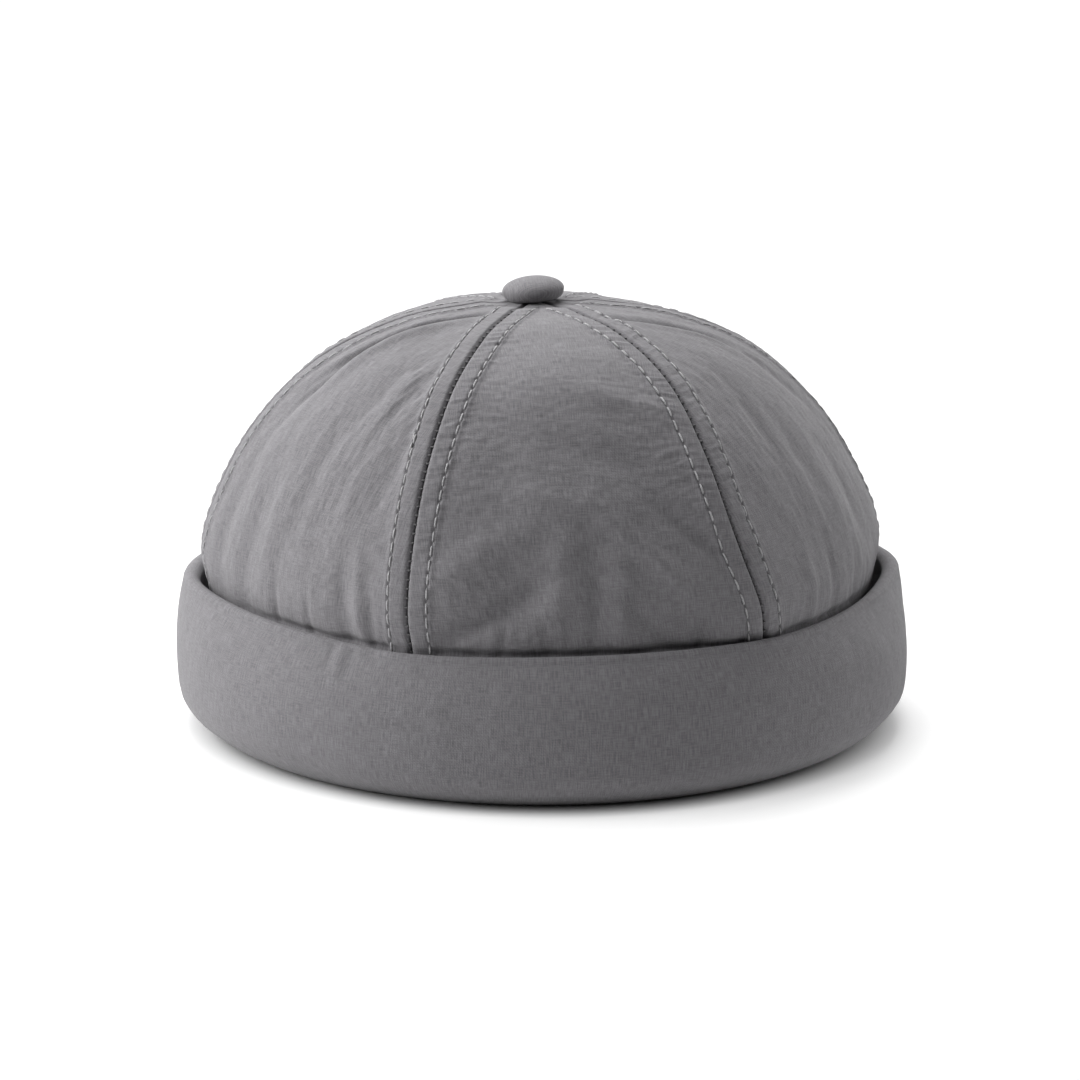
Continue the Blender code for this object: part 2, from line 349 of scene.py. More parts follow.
# Radius at the seams and height as shares, share of a hexagon, sideways shift towards +X
CROWN_ROWS = (
    (0.190, 0.986, 0.43, -0.022),
    (0.398, 0.955, 0.59, -0.019),
    (0.629, 0.871, 0.66, -0.012),
    (0.818, 0.728, 0.63, -0.004),
    (0.934, 0.570, 0.51, 0.001),
    (0.990, 0.435, 0.36, 0.003),
    (0.971, 0.340, 0.20, 0.003),
    (0.958, 0.260, 0.14, 0.001),
    (0.952, 0.100, 0.10, 0.000),
)
CROWN_TIP_SHIFT = -0.023
TIP_RADIUS = SHANK_RADIUS + 2 * GAP
LOWER_EDGE = CUFF_WALL + GAP
SECTIONS = (
    ((TIP_RADIUS / CROWN_RADIUS, 1.0, 0.0, CROWN_TIP_SHIFT),)
    + CROWN_ROWS
    + ((CROWN_ROWS[-1][0], LOWER_EDGE / CROWN_HEIGHT, CROWN_ROWS[-1][2], 0.0),)
)
UPRIGHT_ROW = 4  # a row that lies well above the cuff
TABLE_STEPS = 400

# Azimuth, height share, half width in degrees, half height share, lean, depth share
CROWN_DENTS = (
    (-13, 0.49, 7, 0.08, 60, 0.011),
    (-2, 0.40, 5, 0.05, 20, 0.007),
    (17, 0.42, 5, 0.06, -40, 0.008),
    (6, 0.66, 12, 0.10, 30, -0.006),
    (-40, 0.47, 4, 0.12, 20, 0.007),
    (-52, 0.62, 5, 0.16, 30, 0.006),
    (-67, 0.50, 4, 0.12, 10, 0.006),
    (-82, 0.93, 8, 0.06, -40, 0.012),
    (75, 0.93, 7, 0.06, 40, 0.004),
    (96, 0.93, 18, 0.10, 0, -0.018),
    (47, 0.50, 5, 0.12, -20, 0.007),
    (66, 0.60, 6, 0.16, -10, 0.006),
    (118, 0.55, 6, 0.13, 20, 0.008),
    (172, 0.50, 8, 0.10, 40, 0.009),
    (-165, 0.72, 9, 0.10, -30, 0.007),
    (-122, 0.52, 6, 0.13, 20, 0.008),
)


def short_way(turn):
    """A turn in degrees, taken the short way round."""
    return (turn + 180) % 360 - 180


def on_curve(rows, column, place):
    """Reads a table's column at places counted in rows, on a smooth curve through the rows."""
    values = np.array([row[column] for row in rows])
    last = len(rows) - 1
    low = np.clip(np.floor(place).astype(int), 0, last - 1)
    share = place - low
    before, after = np.maximum(low - 1, 0), np.minimum(low + 2, last)
    start, end = values[low], values[low + 1]
    start_slope = (end - values[before]) / (low + 1 - before)
    end_slope = (values[after] - start) / (after - low)
    return (
        (1 + 2 * share) * (1 - share) ** 2 * start
        + share * (1 - share) ** 2 * start_slope
        + share * share * (3 - 2 * share) * end
        - share * share * (1 - share) * end_slope
    )


def dent_depth(azimuth, height):
    """How far the dents push the crown in."""
    depth = np.zeros_like(azimuth, dtype=float)
    for centre, level, width, tall, lean, deep in CROWN_DENTS:
        aside = short_way(azimuth - centre - lean * (height - level))
        depth += deep * np.exp(-((aside / width) ** 2) - ((height - level) / tall) ** 2)
    return depth * CROWN_RADIUS


def seam_azimuth(seam, height):
    """Azimuth of a seam at a share of the crown's height; seam 0 is left of the front panel."""
    rim = CUFF_HEIGHT / CROWN_HEIGHT
    above = np.clip((height - rim) / (1 - rim), 0, 1)
    return (seam - 0.5) * PANEL_ANGLE + SEAM_SWAY[seam % PANELS] * np.sin(np.pi * above)


def across_panel(azimuth, height):
    """Where an azimuth lies in its panel, from -1 to 1, with the seams at both ends."""
    seam = np.floor(azimuth / PANEL_ANGLE - 0.5).astype(int)
    seam += seam_azimuth(seam + 1, height) < azimuth
    start, end = seam_azimuth(seam, height), seam_azimuth(seam + 1, height)
    return 2 * (azimuth - start) / (end - start) - 1


def hexagon_share(across, amount):
    """Radius of a rounded hexagon as a share of the radius at its corners, the seams."""
    half = math.radians(PANEL_ANGLE / 2)
    side = np.minimum(np.abs(across), 1)
    side = (side - side**CORNER_SOFTNESS / CORNER_SOFTNESS) * CORNER_SOFTNESS / (CORNER_SOFTNESS - 1)
    return 1 - amount * (1 - math.cos(half) / np.cos(half * side))


def crown_point(azimuth, place, across=None):
    """Points of the crown's outside, as rows of x, y and z."""
    radius, height, amount, shift = (on_curve(SECTIONS, column, place) for column in range(4))
    if across is None:
        across = across_panel(azimuth, height)
    out = radius * CROWN_RADIUS * hexagon_share(across, amount) - dent_depth(azimuth, height)
    angle = np.radians(azimuth)
    return np.stack([
        out * np.sin(angle) + shift * CROWN_RADIUS,
        -out * np.cos(angle),
        height * CROWN_HEIGHT,
    ], axis=-1)


PLACE_TABLE = np.linspace(0, len(SECTIONS) - 1, TABLE_STEPS)
seam_line = crown_point(np.full(PLACE_TABLE.shape, 0.0), PLACE_TABLE)
steps = np.linalg.norm(np.diff(seam_line, axis=0), axis=1)
DOWN_TABLE = np.concatenate([[0], np.cumsum(steps)]) / MM
RIM_DOWN = np.interp(-CUFF_HEIGHT, -seam_line[:, 2], DOWN_TABLE)
print("a gore is", round(DOWN_TABLE[-1]), "mm long and meets the cuff's rim at", round(RIM_DOWN))

# %% [markdown]
# ## Folds, puckers and seams
# Five things shape the cloth between the big dents. Each gore is cut a little full and stands out
# between its seams. Gathers and creases run where the cloth is pushed together, mostly down
# towards the cuff and away from the seams. Every seam has its allowance folded to both sides and
# held by topstitching, so a strip along it is thicker, and the tight stitches pucker it crosswise.
# The seam itself is a sharp groove. Last, washed cotton is never quite smooth. Bump in the material
# would only fake them, so they are moved into the mesh: each is a height in millimetres, and the
# heights are added up.

# %% Heights of the cloth's relief
STITCH_ROW = 5.3  # millimetres from the seam to each row of topstitching
STITCH_PITCH = 3.87
STITCH_LENGTH = 3.15  # millimetres of thread that show
FIRST_STITCH = 10.0
STRIP_WIDTH = 6.6  # millimetres of doubled cloth on each side of a seam
STRIP_HEIGHT = 0.4
STRIP_EDGE = (STRIP_WIDTH - 0.8, STRIP_WIDTH + 0.5)
GROOVE_DEPTH, GROOVE_WIDTH = 0.28, 0.5  # of the dent along a row of stitches
HOLE_DEPTH, HOLE_SHARPNESS = 0.3, 3  # where the needle went in
SEAM_DEPTH, SEAM_WIDTH = 0.9, 0.45
PUCKER_HEIGHT, PUCKER_LENGTH = 0.36, 1.15
PUCKER_LEAN, PUCKER_REACH = 0.16, 7
PUCKER_START, PUCKER_FADE = 2.2, 2.4  # millimetres from the seam, and beyond the stitches
SIDE_SHIFT = 7.7  # millimetres, so that both sides of a seam pucker differently
BUTTON_PRESS = 0.9  # millimetres that the button presses the crown's tip in

# Folds: azimuth, millimetres down from the button, half length and half width in millimetres,
# turn in degrees (0 runs down the gore, 90 towards +X), height in millimetres
FOLDS = (
    # left gore, below the far seam
    (-70, 37, 22, 1.7, -22, -3.4),
    (-65, 45, 24, 2.8, -22, 1.3),
    (-75, 57, 18, 1.8, -14, -1.8),
    # left gore, pulled away from the stitching
    (-40, 58, 13, 2.2, -18, -0.7),
    (-45, 66, 15, 2.4, -20, 0.6),
    (-50, 64, 16, 2.8, -20, -0.6),
    (-38, 84, 14, 2.4, -12, -0.7),
    (-45, 92, 17, 3.0, -10, 0.6),
    (-57, 92, 20, 3.6, -6, -1.1),
    # left gore, gathers above the cuff
    (-80, 112, 22, 4.0, 0, -1.0),
    (-70, 114, 20, 3.8, 0, -1.1),
    (-64, 110, 20, 3.4, 2, 0.7),
    (-60, 129, 9, 1.5, 2, -0.8),
    (-51, 129, 8, 1.5, 2, -0.7),
    (-39.5, 121, 14, 2.2, 8, 1.1),
    (-43, 122, 12, 2.2, 8, -0.8),
    (-37, 126, 8, 1.4, 0, -0.7),
    # front gore
    (-18, 123, 12, 2.8, -63, -2.3),
    (-8, 115, 13, 4.2, -58, -1.4),
    (-20, 107, 14, 5.0, -60, 1.3),
    (-6, 113, 12, 4.2, -18, 1.5),
    (-8, 128, 6, 1.5, 6, -0.7),
    (-15, 129, 5, 1.3, -10, -0.7),
    (0.5, 120, 12, 3.4, 0, -1.3),
    (5, 118, 12, 3.2, 0, 0.9),
    (13, 112, 20, 3.8, 45, 2.1),
    (8, 123, 15, 3.8, 45, -1.6),
    (19, 102, 16, 3.8, 45, -1.9),
    (18, 128, 5, 1.8, 0, -1.0),
    (4, 80, 18, 5.0, 70, -1.2),
    (10, 62, 16, 4.5, 75, 0.9),
    (-6, 92, 16, 4.5, 80, 0.9),
    # right gore
    (58, 34, 18, 2.5, 38, -1.7),
    (64, 44, 20, 2.8, 36, 1.0),
    (73, 58, 20, 2.6, 18, -1.0),
    (46, 72, 18, 3.0, 0, -0.5),
    (54, 92, 20, 3.6, 4, -0.6),
    (62, 100, 20, 3.6, 2, 0.4),
    (68, 106, 18, 3.2, 0, -0.5),
    (50, 124, 10, 2.2, 0, -0.7),
    (42, 120, 12, 2.6, 0, 0.6),
    (60, 128, 8, 1.8, 0, -0.5),
)

# Folds behind, which the photo doesn't show: the ranges of a fold's columns up to its turn
FOLDS_BEHIND = 30
BEHIND_RANGES = ((95, 265), (60, 124), (10, 20), (1.8, 3.2), (-25, 25))
BEHIND_HEIGHTS = (0.35, 0.7)
BEHIND_SEED = 11

# Millimetres that the cloth of each gore stands out between its seams, in the order of the gores
GORE_FULLNESS = (3.0, 2.6, 1.0, 1.2, 1.0, 3.0)
# Share of the full puckers on each gore: the far seams lie smoother
PUCKER_SHARES = (1.0, 1.0, 0.45, 0.6, 0.45, 0.7)

# Patches of fine wrinkles: azimuth and millimetres down, half extents in degrees and millimetres,
# turn as above, then width, length and height of a wrinkle in millimetres
WRINKLES = (
    (-40, 62, 10, 28, -22, 1.3, 6, 0.34),
    (-50, 84, 18, 34, -14, 1.6, 9, 0.24),
    (-76, 104, 16, 26, 0, 2.6, 17, 0.22),
    (-55, 126, 26, 9, 0, 1.5, 8, 0.16),
    (-76, 46, 12, 22, -20, 1.6, 9, 0.18),
    (-21, 74, 8, 46, 74, 1.1, 3.2, 0.22),
    (-20, 114, 9, 16, 62, 1.1, 3.6, 0.34),
    (0, 86, 24, 44, 86, 1.2, 3.6, 0.16),
    (18, 80, 7, 40, 104, 1.1, 3.4, 0.22),
    (-6, 127, 22, 7, 5, 1.5, 7, 0.34),
    (41, 66, 9, 36, 12, 1.5, 7, 0.22),
    (62, 100, 20, 30, 0, 2.6, 17, 0.16),
    (66, 50, 14, 20, 35, 1.8, 12, 0.26),
    (50, 126, 24, 8, 0, 1.8, 9, 0.30),
    (130, 95, 40, 44, 6, 2.0, 13, 0.34),
    (-130, 95, 40, 44, -6, 2.0, 13, 0.34),
    (180, 92, 30, 44, 86, 1.3, 4.5, 0.26),
)
WANDER, WANDER_SPAN = 1.6, 12  # how far a wrinkle strays, and along how much cloth
PATCH_EDGE = 0.03

# The cloth's own unevenness: millimetres across and down, seed, height in millimetres
RUMPLES = (
    (15, 19, 5.3, 0.6),
    (5.2, 5.8, 15.3, 0.16),
    (1.9, 1.5, 3.9, 0.07),
)
PINCH_DEPTH, PINCH_CHANGE = 1.1, 0.5  # of the dent where the cuff's rim holds the crown
PINCH_WIDTH, PINCH_SPAN = 1.2, 4.5
HUGGED = (0.15, 0.6)  # cosines of the azimuth where the cuff starts to hug the crown, and does


def fold_rows():
    """The folds that the photo shows, and others like them on the gores behind."""
    rows = list(FOLDS)
    random = np.random.default_rng(BEHIND_SEED)
    for _ in range(FOLDS_BEHIND):
        fold = [random.uniform(*ends) for ends in BEHIND_RANGES]
        rows.append((*fold, random.choice((-1, 1)) * random.uniform(*BEHIND_HEIGHTS)))
    return rows


def uneven(first, second, seed):
    """Smooth noise from -1 to 1 at pairs of numbers."""
    return np.array([noise.noise((a, b, seed)) for a, b in zip(first, second)])


def smooth_step(value, low, high):
    share = np.clip((value - low) / (high - low), 0, 1)
    return share * share * (3 - 2 * share)


def bell(distance, width):
    """A smooth hump: 1 at no distance, almost nothing past twice the width."""
    return np.exp(-((distance / width) ** 2))


def turned(azimuth, radius_mm, down_mm, centre, level, turn):
    """Distances along and across a line laid through a point of the crown."""
    aside = np.radians(short_way(azimuth - centre)) * radius_mm
    below = down_mm - level
    lean = math.radians(turn)
    return (
        below * math.cos(lean) + aside * math.sin(lean),
        aside * math.cos(lean) - below * math.sin(lean),
    )


def fold_relief(azimuth, radius_mm, down_mm, rows):
    height = np.zeros_like(azimuth)
    for centre, level, half_length, half_width, turn, tall in rows:
        along, across = turned(azimuth, radius_mm, down_mm, centre, level, turn)
        height += tall * np.exp(-((along / half_length) ** 2) - (across / half_width) ** 2)
    return height


def wrinkle_relief(azimuth, radius_mm, down_mm):
    """Patches of fine wrinkles, each fading out round its middle."""
    height = np.zeros_like(azimuth)
    for number, (centre, level, wide, tall, turn, width, length, high) in enumerate(WRINKLES):
        away = short_way(azimuth - centre) / wide
        patch = np.exp(-(away**2) - ((down_mm - level) / tall) ** 2)
        near = patch > PATCH_EDGE
        if near.any():
            along, across = turned(azimuth[near], radius_mm[near], down_mm[near], centre, level, turn)
            wander = WANDER * uneven(along / WANDER_SPAN, across / WANDER_SPAN, 60.5 + number)
            wrinkles = uneven(along / length, (across + wander) / width, 3.5 + number)
            height[near] += high * patch[near] * wrinkles
    return height


def rumple(azimuth, aside, down_mm):
    """The cloth's own unevenness, and how the cuff pinches the crown where it hugs it."""
    height = sum(uneven(aside / wide, down_mm / tall, seed) * high
                 for wide, tall, seed, high in RUMPLES)
    hugged = smooth_step(np.abs(np.cos(np.radians(azimuth))), *HUGGED)
    pinch = (PINCH_DEPTH + PINCH_CHANGE * uneven(aside / PINCH_SPAN, azimuth / 90, 12.1)) * hugged
    return height - pinch * bell(down_mm - RIM_DOWN, PINCH_WIDTH)


def seam_relief(from_seam, down_mm, side, seed):
    """The doubled strip beside a seam, the grooves of its stitches and edge, and its puckers."""
    strip = STRIP_HEIGHT * (1 - smooth_step(from_seam, *STRIP_EDGE))
    turns = (down_mm - FIRST_STITCH + (STITCH_PITCH - STITCH_LENGTH) / 2) / STITCH_PITCH
    holes = (0.5 + 0.5 * np.cos(2 * math.pi * turns)) ** HOLE_SHARPNESS
    stitched = -(GROOVE_DEPTH + HOLE_DEPTH * holes) * bell(from_seam - STITCH_ROW, GROOVE_WIDTH)
    edge = -SEAM_DEPTH * bell(from_seam, SEAM_WIDTH)
    beside = (down_mm + SIDE_SHIFT * side) / PUCKER_LENGTH + from_seam * PUCKER_LEAN
    puckers = uneven(beside, from_seam / PUCKER_REACH + side, seed)
    outside = np.maximum(from_seam - STITCH_ROW, 0)
    tight = smooth_step(from_seam, 0, PUCKER_START) * np.exp(-outside / PUCKER_FADE)
    return strip, stitched + edge, PUCKER_HEIGHT * puckers * tight


print("folds:", len(fold_rows()))

# %% [markdown]
# ## The six gores
# Each gore starts as a flat grid, like the piece of cloth that it is cut from. Its columns are
# mapped from seam to seam and its rows from the button down to the hidden lower edge. Closer
# columns at the seams and at the stitches give the grooves there enough points. A second, coarser
# grid makes the inside, which follows the folds but has no grooves, and a bridge between their
# borders closes the wall.

# %% Make the gores
GORE_COLUMNS, GORE_ROWS = 144, 300
INNER_COLUMNS, INNER_ROWS = 72, 100
SHOWN_ROWS = 0.95  # share of the rows above the part that the cuff hides
HIDDEN_FROM = 7  # millimetres below the cuff's rim
ALLOWANCE_INSIDE = 0.35  # millimetres that the seam allowances stand out inside
INSIDE_SHARE = 0.8  # share of the folds that shows inside
HELD_SHARE = 0.25  # share of the folds that is left at the seams
TIP_PUCKERS = 0.4  # share of the puckers that is left at the tip
FINE_STEP = 0.01
GORE_SPAN = 120  # millimetres of noise kept for each gore, so that no two are alike

# Where something starts and is there in full, in millimetres from a seam or down a gore
FREE_CLOTH = (1.0, STRIP_WIDTH + 2.0)
ALLOWANCE_EDGE = (STRIP_WIDTH, STRIP_WIDTH + 1.2)
PRESSED = (7.6, 12.5)
BELOW_TIP = (9, 24)
FULL_BELOW = (12, 60)
FULL_ABOVE = (96, RIM_DOWN)
PUCKERED = (12, 34)
HIDDEN = (RIM_DOWN + 4, RIM_DOWN + 12)

# Where a gore's columns crowd: millimetres from the seam, half width, how much closer they lie
CROWDS = ((STITCH_ROW, 1.0, 2.6), (0.0, 0.7, 2.4))
FARTHEST = 60  # millimetres from a seam, more than half a gore's width
DISTANCE_STEPS = 1200


def finished(mesh, name, material, node):
    """Turns a bmesh into a piece that rides with the cap and, with a node given, stands for it."""
    bmesh.ops.recalc_face_normals(mesh, faces=mesh.faces)
    data = bpy.data.meshes.new(name)
    mesh.to_mesh(data)
    mesh.free()
    data.shade_smooth()
    data.materials.append(material)
    piece = linked(name, data)
    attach(piece, "root")
    if node:
        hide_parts(node)
    return piece


def lay_map(mesh, places):
    """Gives a bmesh its UV map, in metres of cloth, from a pair for each vertex."""
    layer = mesh.loops.layers.uv.new("cloth")
    mesh.verts.index_update()
    for face in mesh.faces:
        for corner in face.loops:
            corner[layer].uv = places[corner.vert.index]


DISTANCES = np.linspace(0, FARTHEST, DISTANCE_STEPS)
CROWDING = sum((more * bell(DISTANCES - centre, width) for centre, width, more in CROWDS), start=1)
CROWDED = np.concatenate([[0], np.cumsum(CROWDING[:-1])]) * DISTANCES[1]


class GorePatch:
    """Where the points of a gore are, from their share across and millimetres down the gore."""

    def __init__(self, number, across, down_mm):
        self.number = number
        self.across = across
        self.down_mm = down_mm
        self.place = np.interp(down_mm, DOWN_TABLE, PLACE_TABLE)
        self.radius = on_curve(SECTIONS, 0, self.place) * CROWN_RADIUS
        height = on_curve(SECTIONS, 1, self.place)
        left, right = seam_azimuth(number, height), seam_azimuth(number + 1, height)
        half = (right - left) / 2 - np.degrees(SEAM_GAP / 2 / self.radius)
        self.azimuth = (left + right) / 2 + across * half
        self.half_mm = np.radians(half) * self.radius / MM
        self.from_seam = (1 - np.abs(across)) * self.half_mm
        self.points = crown_point(self.azimuth, self.place, across)
        self.normals = self.outward(half)

    def outward(self, half):
        """Unit normals, from steps a little down and a little across."""
        last = len(SECTIONS) - 1
        above = np.clip(self.place - FINE_STEP, 0, last)
        below = np.clip(self.place + FINE_STEP, 0, last)
        down = (crown_point(self.azimuth, below, self.across)
                - crown_point(self.azimuth, above, self.across))
        nudge = FINE_STEP * half
        aside = (crown_point(self.azimuth + nudge, self.place, self.across + FINE_STEP)
                 - crown_point(self.azimuth - nudge, self.place, self.across - FINE_STEP))
        normal = np.cross(down, aside)
        return normal / np.linalg.norm(normal, axis=1, keepdims=True)

    def relief(self, rows):
        """Height of folds and rumples, which fade out at the seams, and of the gore's fullness."""
        radius_mm = self.radius / MM
        free = HELD_SHARE + (1 - HELD_SHARE) * smooth_step(self.from_seam, *FREE_CLOTH)
        loose = fold_relief(self.azimuth, radius_mm, self.down_mm, rows)
        loose += rumple(self.azimuth, self.across * self.half_mm + GORE_SPAN * self.number, self.down_mm)
        loose += wrinkle_relief(self.azimuth, radius_mm, self.down_mm)
        pressed = BUTTON_PRESS * (1 - smooth_step(self.down_mm, *PRESSED))
        shown = smooth_step(self.down_mm, *FULL_BELOW) * (1 - smooth_step(self.down_mm, *FULL_ABOVE))
        full = GORE_FULLNESS[self.number] * (1 - self.across**2) ** 2 * shown
        return full + loose * free * smooth_step(self.down_mm, *BELOW_TIP) - pressed

    def seams(self):
        """Heights of the doubled strip, of the grooves in it, and of its puckers."""
        below = TIP_PUCKERS + (1 - TIP_PUCKERS) * smooth_step(self.down_mm, *PUCKERED)
        calm = PUCKER_SHARES[self.number] * below
        seed = 20.5 + 3 * self.number
        strip, grooves, puckers = seam_relief(self.from_seam, self.down_mm, self.across > 0, seed)
        return strip, grooves, puckers * calm

    def above_cuff(self):
        """1 where the gore shows, 0 where it is hidden and lies as its CAD node does."""
        return 1 - smooth_step(self.down_mm, *HIDDEN)


def gore_grid(mesh, number, columns, rows):
    """A grid laid on a gore, its columns crowded along the seams and the rows of stitches."""
    corners = bmesh.ops.create_grid(mesh, x_segments=columns, y_segments=rows, size=1)["verts"]
    column = np.array([vertex.co.x for vertex in corners])
    row = np.array([(1 - vertex.co.y) / 2 for vertex in corners])
    down_mm = np.interp(row, (0, SHOWN_ROWS, 1), (0, RIM_DOWN + HIDDEN_FROM, DOWN_TABLE[-1]))
    half_mm = GorePatch(number, np.zeros_like(column), down_mm).half_mm
    reached = (1 - np.abs(column)) * np.interp(half_mm, DISTANCES, CROWDED)
    across = np.sign(column) * (1 - np.interp(reached, CROWDED, DISTANCES) / half_mm)
    return corners, GorePatch(number, across, down_mm)


def make_gore(side, number, rows):
    mesh = bmesh.new()
    outside, patch = gore_grid(mesh, number, GORE_COLUMNS, GORE_ROWS)
    inside, lining = gore_grid(mesh, number, INNER_COLUMNS, INNER_ROWS)
    strip, grooves, puckers = patch.seams()
    relief = (patch.relief(rows) + strip + grooves + puckers) * patch.above_cuff()
    allowance = ALLOWANCE_INSIDE * (1 - smooth_step(lining.from_seam, *ALLOWANCE_EDGE))
    moved = (allowance - INSIDE_SHARE * lining.relief(rows)) * lining.above_cuff()
    sunk = CROWN_CLOTH / MM + moved
    cloth_map = []
    for vertices, place, height in ((outside, patch, relief), (inside, lining, -sunk)):
        points = place.points + place.normals * (height * MM)[:, None]
        for vertex, point in zip(vertices, points.tolist()):
            vertex.co = point
        cloth_map += (np.stack([place.across * place.half_mm, -place.down_mm], axis=-1) * MM).tolist()
    border = [edge for edge in mesh.edges if edge.is_boundary]
    bmesh.ops.bridge_loops(mesh, edges=border)
    lay_map(mesh, cloth_map)
    return finished(mesh, "gore_" + side, panel_cloth, "crown_panel_" + side)


ALL_FOLDS = fold_rows()
for number, side in enumerate(PANEL_NAMES):
    make_gore(side, number, ALL_FOLDS)

# %% [markdown]
# ## The cuff
# The cuff is a straight band of doubled cloth, turned up outside the crown. In cross-section it
# climbs from the fold on the floor up a barrel-shaped wall to a soft rim, and comes down again
# inside to the hem. It could be turned on a lathe, but its rim stands off the crown at the sides
# and hugs it in front, so the section changes all the way round. A grid rolled up both ways does
# this: its columns go round the head, its rows go round the section, and the ends are merged.

# %% Sizes of the cuff
BULGE_HEIGHT = 0.018
FOLD_HEIGHT = 0.011
FOLD_DEPTH = 0.0125
HEM_HEIGHT = 0.013
HEM_WALL = 0.0016
FOLD_FULLNESS = 1.35
WALL_FULLNESS = 2.6
WIDEST = CROWN_RADIUS + CUFF_STAND
CUFF_COLUMNS = 640
FOLD_STEPS, WALL_STEPS, RIM_STEPS, INNER_STEPS = 18, 40, 12, 10

# Azimuth, gap to the crown as a share of CUFF_STAND, rise as a share of CUFF_HEIGHT
RIM_ROWS = (
    (-180, 0.12, 0.000),
    (-140, 0.20, 0.015),
    (-105, 0.80, 0.060),
    (-80, 0.46, 0.045),
    (-50, 0.12, 0.012),
    (-34, 0.10, -0.008),
    (0, 0.10, 0.000),
    (35, 0.10, 0.004),
    (60, 0.18, 0.008),
    (85, 0.75, 0.058),
    (110, 0.60, 0.045),
    (145, 0.18, 0.010),
    (180, 0.12, 0.000),
)

# Creases of the cuff's wall: azimuth, height, half width and half height in millimetres, depth
CUFF_CREASES = (
    (-43.5, 38, 1.4, 4, 0.5),
    (-41.5, 37, 1.2, 5, -0.4),
    (-39.5, 38, 1.5, 4, 0.45),
    (-36, 40.5, 3.0, 2.5, 0.5),
    (-52, 5, 28.0, 9, 1.2),
    (-16.4, 34, 1.0, 1.2, 0.35),
    (-62, 36, 2.5, 7, 0.3),
    (22, 38, 3.0, 5, 0.25),
    (48, 36, 2.5, 7, 0.3),
    (140, 36, 2.2, 6, 0.4),
    (-150, 37, 2.0, 6, 0.4),
)
PROFILE_SOFTENING = 12  # rounds of smoothing along the outer profile
RIM_PLUMPNESS = 0.2  # share of the rim's gap that its padding fills on each side
HALVINGS = 30  # rounds of halving that find the crown's radius at a height
CALM_FOOT = 0.006  # height over which the unevenness starts
MERGE_DISTANCE = 0.002 * MM

# Rumples of the band: millimetres round and up, seed, height in millimetres
CUFF_RUMPLES = (
    (16, 14, 2.3, 0.35),
    (5, 11, 6.1, 0.10),
    (2.1, 2.4, 8.8, 0.03),
)
BACK_SEAM_DEPTH, BACK_SEAM_WIDTH = 0.7, 0.6


def crown_radius_at(azimuth, height):
    """Distance of the crown's outside from the axis at a height."""
    low = np.full_like(azimuth, UPRIGHT_ROW)
    high = np.full_like(azimuth, len(SECTIONS) - 1)
    for _ in range(HALVINGS):
        middle = (low + high) / 2
        above = on_curve(SECTIONS, 1, middle) * CROWN_HEIGHT > height
        low, high = np.where(above, middle, low), np.where(above, high, middle)
    point = crown_point(azimuth, (low + high) / 2)
    return np.hypot(point[..., 0], point[..., 1])


def fold_share(height, rise):
    """Share of the fold's depth that its curve has reached at a height."""
    left = 1 - min(height / rise, 1)
    return (1 - left**FOLD_FULLNESS) ** (1 / FOLD_FULLNESS)


def cuff_rings(azimuth):
    """The cuff's section as rings round the head: how far out and how high, for each azimuth."""
    breaks = [row[0] for row in RIM_ROWS]
    place = np.interp(azimuth, breaks, range(len(breaks)))
    gap = on_curve(RIM_ROWS, 1, place) * CUFF_STAND
    bead = CUFF_WALL / 2 + RIM_PLUMPNESS * gap
    rim_height = CUFF_HEIGHT * (1 + on_curve(RIM_ROWS, 2, place)) - bead
    rim_middle = crown_radius_at(azimuth, rim_height) + gap + CUFF_WALL - bead
    skirt_point = crown_point(azimuth, np.full_like(azimuth, len(SECTIONS) - 1))
    skirt = np.hypot(skirt_point[:, 0], skirt_point[:, 1])
    hem_outside = skirt - CROWN_CLOTH - GAP
    hem_inside = hem_outside - HEM_WALL
    pocket = skirt + GAP
    outer = [(WIDEST - FOLD_DEPTH * (1 - fold_share(height, FOLD_HEIGHT)), height)
             for height in np.linspace(0, FOLD_HEIGHT, FOLD_STEPS)]
    outer.append((WIDEST, (FOLD_HEIGHT + BULGE_HEIGHT) / 2))
    for share in np.linspace(0, 1, WALL_STEPS):
        reach = WIDEST - (WIDEST - rim_middle - bead) * share**WALL_FULLNESS
        outer.append((reach, BULGE_HEIGHT + (rim_height - BULGE_HEIGHT) * share))
    profile = np.array([[np.broadcast_to(part, azimuth.shape) for part in ring] for ring in outer])
    wall = [(reach - 2 * bead, height) for reach, height in profile[-WALL_STEPS:][::-4]]
    for _ in range(PROFILE_SOFTENING):
        profile[1:-1] += (profile[:-2] - 2 * profile[1:-1] + profile[2:]) / 4
    rings = [(hem_inside, 0.0), *profile]
    for angle in np.linspace(0, math.pi, RIM_STEPS)[1:-1]:
        rings.append((rim_middle + bead * math.cos(angle), rim_height + bead * math.sin(angle)))
    rings += wall
    for height in np.linspace(FOLD_HEIGHT, CUFF_WALL, INNER_STEPS):
        share = fold_share(height - CUFF_WALL, FOLD_HEIGHT - CUFF_WALL)
        rings.append((pocket + (WIDEST - CUFF_WALL - pocket) * share, height))
    rings += [(hem_outside, CUFF_WALL), (hem_outside, HEM_HEIGHT), (hem_inside, HEM_HEIGHT)]
    for height in np.linspace(HEM_HEIGHT, 0, INNER_STEPS)[1:]:
        rings.append((hem_inside, height))
    return rings


